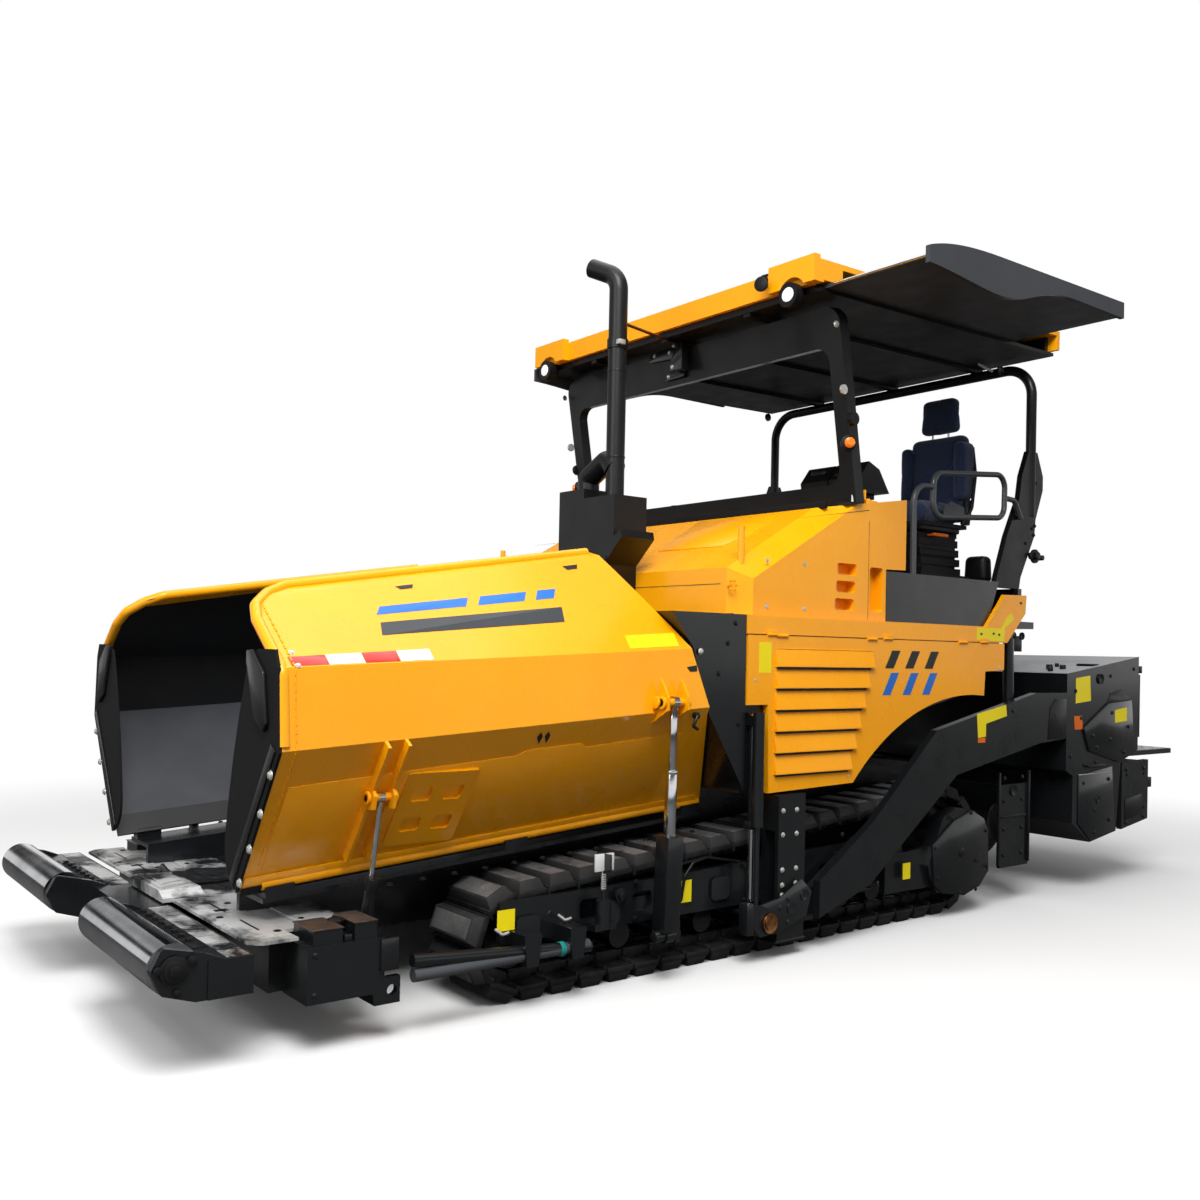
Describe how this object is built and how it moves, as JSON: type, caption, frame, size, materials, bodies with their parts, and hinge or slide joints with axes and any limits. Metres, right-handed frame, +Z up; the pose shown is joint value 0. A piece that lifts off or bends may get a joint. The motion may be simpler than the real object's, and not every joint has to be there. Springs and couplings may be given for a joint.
{
  "type": "tracked asphalt paver",
  "caption": "Tracked road paver with folding hopper wings, push rollers, louvred engine doors, canopy with sliding awnings, lifted screed and spreading augers.",
  "frame": {"origin": "on the ground, on the centre plane, under the foot of the platform's front portal", "axes": "-Y is the direction of travel, +X the machine's left side, +Z up"},
  "size_m": [3.275, 7.3699, 3.7575],
  "materials": {
    "yellow_paint": "gloss",
    "charcoal_paint": "satin",
    "track_steel": "rough",
    "worn_steel": "worn",
    "chrome_rod": "polished",
    "engine_paint": "satin",
    "black_plastic": "matt",
    "rail_tube": "satin",
    "lamp_lens": "gloss",
    "seat_fabric": "woven"
  },
  "bodies": {
    "chassis": {"waist_band": "yellow_paint", "hood": "yellow_paint", "roof": "yellow_paint", "track_frames": "charcoal_paint", "rollers": "charcoal_paint", "final_drives": "charcoal_paint", "main_frame": "charcoal_paint", "front_crossmember": "charcoal_paint", "corner_boxes": "charcoal_paint", "bulkhead": "charcoal_paint", "engine_housing": "charcoal_paint", "platform": "charcoal_paint", "front_portal": "charcoal_paint", "rear_portal": "charcoal_paint", "roof_panel": "charcoal_paint", "guide_posts": "charcoal_paint", "levelling_cylinders": "charcoal_paint", "auger_carrier": "charcoal_paint", "exhaust": "charcoal_paint", "track_left": "track_steel", "track_right": "track_steel", "conveyors": "track_steel", "deck_plates": "worn_steel", "engine": "engine_paint", "console": "black_plastic", "seat_bases": "black_plastic", "handrails": "rail_tube", "lamps": "lamp_lens", "seats": "seat_fabric"},
    "wing_left": {"hopper_wing_left": "yellow_paint", "wing_flap_left": "charcoal_paint"},
    "strut_barrel_left": {"strut_barrel_left": "charcoal_paint"},
    "strut_rod_left": {"strut_rod_left": "chrome_rod"},
    "ram_barrel_left": {"ram_barrel_left": "charcoal_paint"},
    "ram_rod_left": {"ram_rod_left": "chrome_rod"},
    "wing_right": {"hopper_wing_right": "yellow_paint", "wing_flap_right": "charcoal_paint"},
    "strut_barrel_right": {"strut_barrel_right": "charcoal_paint"},
    "strut_rod_right": {"strut_rod_right": "chrome_rod"},
    "ram_barrel_right": {"ram_barrel_right": "charcoal_paint"},
    "ram_rod_right": {"ram_rod_right": "chrome_rod"},
    "push_beam": {"push_beam": "charcoal_paint"},
    "push_roller_left": {"push_roller_left": "worn_steel"},
    "side_door_left": {"side_door_left": "yellow_paint"},
    "awning_left": {"awning_left": "charcoal_paint"},
    "push_roller_right": {"push_roller_right": "worn_steel"},
    "side_door_right": {"side_door_right": "yellow_paint"},
    "awning_right": {"awning_right": "charcoal_paint"},
    "screed": {"tow_arms": "charcoal_paint", "screed_box": "charcoal_paint", "screed_walkway": "charcoal_paint"},
    "extension_left": {"extension_left": "charcoal_paint"},
    "extension_right": {"extension_right": "charcoal_paint"},
    "lift_barrels": {"lift_barrels": "charcoal_paint"},
    "lift_rods": {"lift_rods": "chrome_rod"},
    "auger_left": {"auger_left": "track_steel"},
    "auger_right": {"auger_right": "track_steel"}
  },
  "joints": [
    {"name": "wing_left_hinge", "type": "hinge", "parent": "chassis", "child": "wing_left", "pos_m": [0.85, -3.09, 0.585], "axis": [0, 0.997, 0.0773], "range_deg": [0, 40]},
    {"name": "strut_left_swing", "type": "hinge", "parent": "chassis", "child": "strut_barrel_left", "pos_m": [0.985, -2.625, 0.25], "axis": [0, 1, 0], "range_deg": [-0.5, 21.91]},
    {"name": "strut_left_stroke", "type": "slide", "parent": "strut_barrel_left", "child": "strut_rod_left", "axis": [0.2018, 0, 0.9794], "range_m": [-0.187, 0.002]},
    {"name": "ram_left_swing", "type": "hinge", "parent": "chassis", "child": "ram_barrel_left", "pos_m": [1.262, -1.215, 0.235], "axis": [0, 1, 0], "range_deg": [-0.5, 23.42]},
    {"name": "ram_left_stroke", "type": "slide", "parent": "ram_barrel_left", "child": "ram_rod_left", "axis": [0.0259, 0, 0.9997], "range_m": [-0.3567, 0.002]},
    {"name": "wing_right_hinge", "type": "hinge", "parent": "chassis", "child": "wing_right", "pos_m": [-0.85, -3.09, 0.585], "axis": [0, -0.997, -0.0773], "range_deg": [0, 40]},
    {"name": "strut_right_swing", "type": "hinge", "parent": "chassis", "child": "strut_barrel_right", "pos_m": [-0.985, -2.625, 0.25], "axis": [0, -1, 0], "range_deg": [-0.5, 21.91]},
    {"name": "strut_right_stroke", "type": "slide", "parent": "strut_barrel_right", "child": "strut_rod_right", "axis": [-0.2018, 0, 0.9794], "range_m": [-0.187, 0.002]},
    {"name": "ram_right_swing", "type": "hinge", "parent": "chassis", "child": "ram_barrel_right", "pos_m": [-1.262, -1.215, 0.235], "axis": [0, -1, 0], "range_deg": [-0.5, 23.42]},
    {"name": "ram_right_stroke", "type": "slide", "parent": "ram_barrel_right", "child": "ram_rod_right", "axis": [-0.0259, 0, 0.9997], "range_m": [-0.3567, 0.002]},
    {"name": "push_beam_swing", "type": "hinge", "parent": "chassis", "child": "push_beam", "pos_m": [0, -3.095, 0.35], "axis": [0, 0, 1], "range_deg": [-5, 5]},
    {"name": "push_roller_left_spin", "type": "hinge", "parent": "push_beam", "child": "push_roller_left", "pos_m": [0.751, -3.45, 0.41], "axis": [1, 0, 0], "continuous": true},
    {"name": "side_door_left_hinge", "type": "hinge", "parent": "chassis", "child": "side_door_left", "pos_m": [1.223, 0.46, 1.645], "axis": [0, -1, 0], "range_deg": [0, 80]},
    {"name": "awning_left_slide", "type": "slide", "parent": "chassis", "child": "awning_left", "axis": [1, 0, 0], "range_m": [-0.6, 0]},
    {"name": "push_roller_right_spin", "type": "hinge", "parent": "push_beam", "child": "push_roller_right", "pos_m": [-0.751, -3.45, 0.41], "axis": [1, 0, 0], "continuous": true},
    {"name": "side_door_right_hinge", "type": "hinge", "parent": "chassis", "child": "side_door_right", "pos_m": [-1.223, 0.46, 1.645], "axis": [0, 1, 0], "range_deg": [0, 80]},
    {"name": "awning_right_slide", "type": "slide", "parent": "chassis", "child": "awning_right", "axis": [-1, 0, 0], "range_m": [0, 0.6]},
    {"name": "screed_lift", "type": "hinge", "parent": "chassis", "child": "screed", "pos_m": [0, -0.54, 0.205], "axis": [-1, 0, 0], "range_deg": [0, 6]},
    {"name": "extension_left_slide", "type": "slide", "parent": "screed", "child": "extension_left", "axis": [1, 0, 0], "range_m": [0, 1.15]},
    {"name": "extension_right_slide", "type": "slide", "parent": "screed", "child": "extension_right", "axis": [-1, 0, 0], "range_m": [0, 1.15]},
    {"name": "lift_swing", "type": "hinge", "parent": "chassis", "child": "lift_barrels", "pos_m": [0, 1.72, 1.69], "axis": [1, 0, 0], "range_deg": [-0.3, 5.04]},
    {"name": "lift_stroke", "type": "slide", "parent": "lift_barrels", "child": "lift_rods", "axis": [0, 0.0328, -0.9995], "range_m": [-0.002, 0.2505]},
    {"name": "auger_left_spin", "type": "hinge", "parent": "chassis", "child": "auger_left", "pos_m": [0.6, 1.84, 0.43], "axis": [1, 0, 0], "continuous": true},
    {"name": "auger_right_spin", "type": "hinge", "parent": "chassis", "child": "auger_right", "pos_m": [-0.6, 1.84, 0.43], "axis": [1, 0, 0], "continuous": true}
  ],
  "couplings": [
    {"joint": "strut_left_swing", "follows": "wing_left_hinge", "ratio": 0.53538},
    {"joint": "strut_left_stroke", "follows": "wing_left_hinge", "m_per_rad": -0.26359},
    {"joint": "ram_left_swing", "follows": "wing_left_hinge", "ratio": 0.573},
    {"joint": "ram_left_stroke", "follows": "wing_left_hinge", "m_per_rad": -0.50662},
    {"joint": "strut_right_swing", "follows": "wing_right_hinge", "ratio": 0.53538},
    {"joint": "strut_right_stroke", "follows": "wing_right_hinge", "m_per_rad": -0.26359},
    {"joint": "ram_right_swing", "follows": "wing_right_hinge", "ratio": 0.573},
    {"joint": "ram_right_stroke", "follows": "wing_right_hinge", "m_per_rad": -0.50662},
    {"joint": "lift_swing", "follows": "screed_lift", "ratio": 0.78993},
    {"joint": "lift_stroke", "follows": "screed_lift", "m_per_rad": 2.3731}
  ]
}
